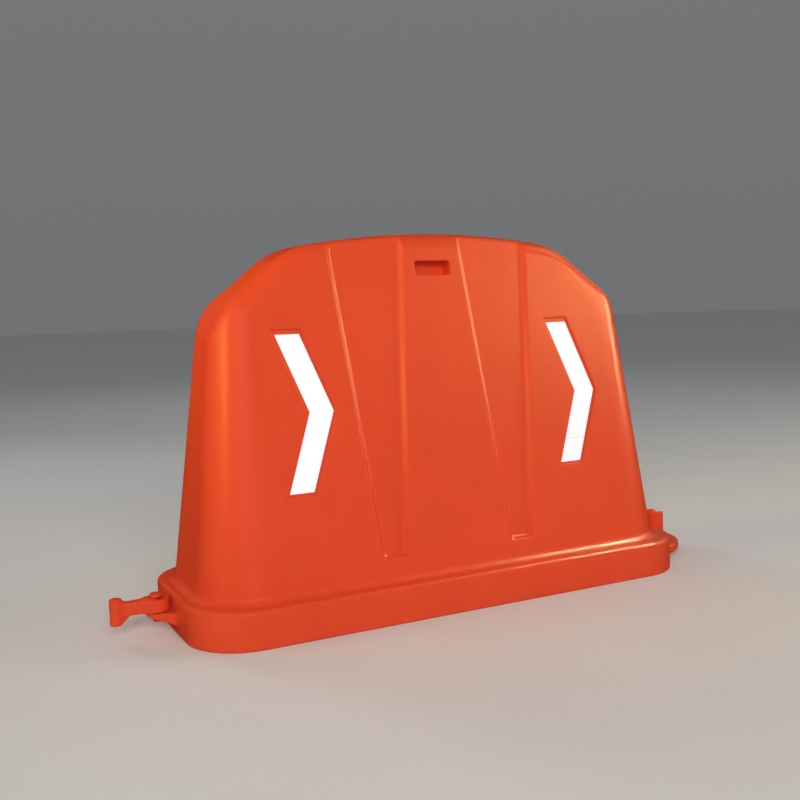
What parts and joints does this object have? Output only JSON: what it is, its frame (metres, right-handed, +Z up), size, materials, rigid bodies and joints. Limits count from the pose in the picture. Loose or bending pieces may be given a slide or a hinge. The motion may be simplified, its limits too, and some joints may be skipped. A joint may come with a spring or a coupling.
{
  "type": "plastic safety barrier",
  "caption": "Hollow tapered plastic road barrier with a plinth foot, arched top, reflective chevrons, hand slots, ballast filler and drain, and a hinged tee link and socket to join end to end.",
  "frame": {"origin": "on the floor under the centre of the plinth", "axes": "+Z up, +X along the barrier from the link end to the socket end, -Y is the face seen in the picture"},
  "size_m": [1.4305, 0.452, 0.8],
  "materials": {
    "orange_polyethylene": "satin moulded polyethylene with a faint orange-peel texture",
    "reflective_sheet": "white prismatic retroreflective sheeting",
    "orange_coated_steel": "powder-coated steel",
    "black_nylon": "fine-grained injection moulding",
    "black_rubber": "soft matt"
  },
  "bodies": {
    "barrier": {"barrier_shell": "orange_polyethylene", "front_left_chevron": "reflective_sheet", "front_right_chevron_upper": "reflective_sheet", "front_right_chevron_lower": "reflective_sheet", "rear_left_chevron": "reflective_sheet", "rear_right_chevron": "reflective_sheet", "receiver_sleeve": "orange_polyethylene", "coupling_hinge_pin": "orange_coated_steel", "hinge_top_washer": "black_nylon", "hinge_thrust_washer": "black_nylon", "fill_neck_insert": "black_nylon", "drain_bush": "black_nylon"},
    "link": {"coupling_link": "orange_polyethylene", "link_bush": "black_nylon"},
    "fill_gasket": {"fill_cap_gasket": "black_rubber"},
    "fill_cap": {"fill_cap": "black_nylon"},
    "drain_gasket": {"drain_plug_gasket": "black_rubber"},
    "drain_plug": {"drain_plug": "black_nylon"}
  },
  "joints": [
    {"name": "link_swing", "type": "hinge", "parent": "barrier", "child": "link", "pos_m": [-0.624, 0, 0.0595], "axis": [0, 0, 1], "range_deg": [-40, 40]},
    {"name": "fill_cap_lift", "type": "slide", "parent": "barrier", "child": "fill_gasket", "axis": [0, 0, 1], "range_m": [0, 0.008]},
    {"name": "fill_cap_turn", "type": "hinge", "parent": "fill_gasket", "child": "fill_cap", "pos_m": [0, 0, 0.789], "axis": [0, 0, 1], "range_deg": [0, 720]},
    {"name": "drain_plug_lift", "type": "slide", "parent": "barrier", "child": "drain_gasket", "axis": [0, 1, 0], "range_m": [0, 0.008]},
    {"name": "drain_plug_turn", "type": "hinge", "parent": "drain_gasket", "child": "drain_plug", "pos_m": [0.3, 0.213, 0.036], "axis": [0, 1, 0], "range_deg": [0, 720]}
  ],
  "couplings": [
    {"joint": "fill_cap_lift", "follows": "fill_cap_turn", "m_per_rad": 0.00063662},
    {"joint": "drain_plug_lift", "follows": "drain_plug_turn", "m_per_rad": 0.00063662}
  ]
}
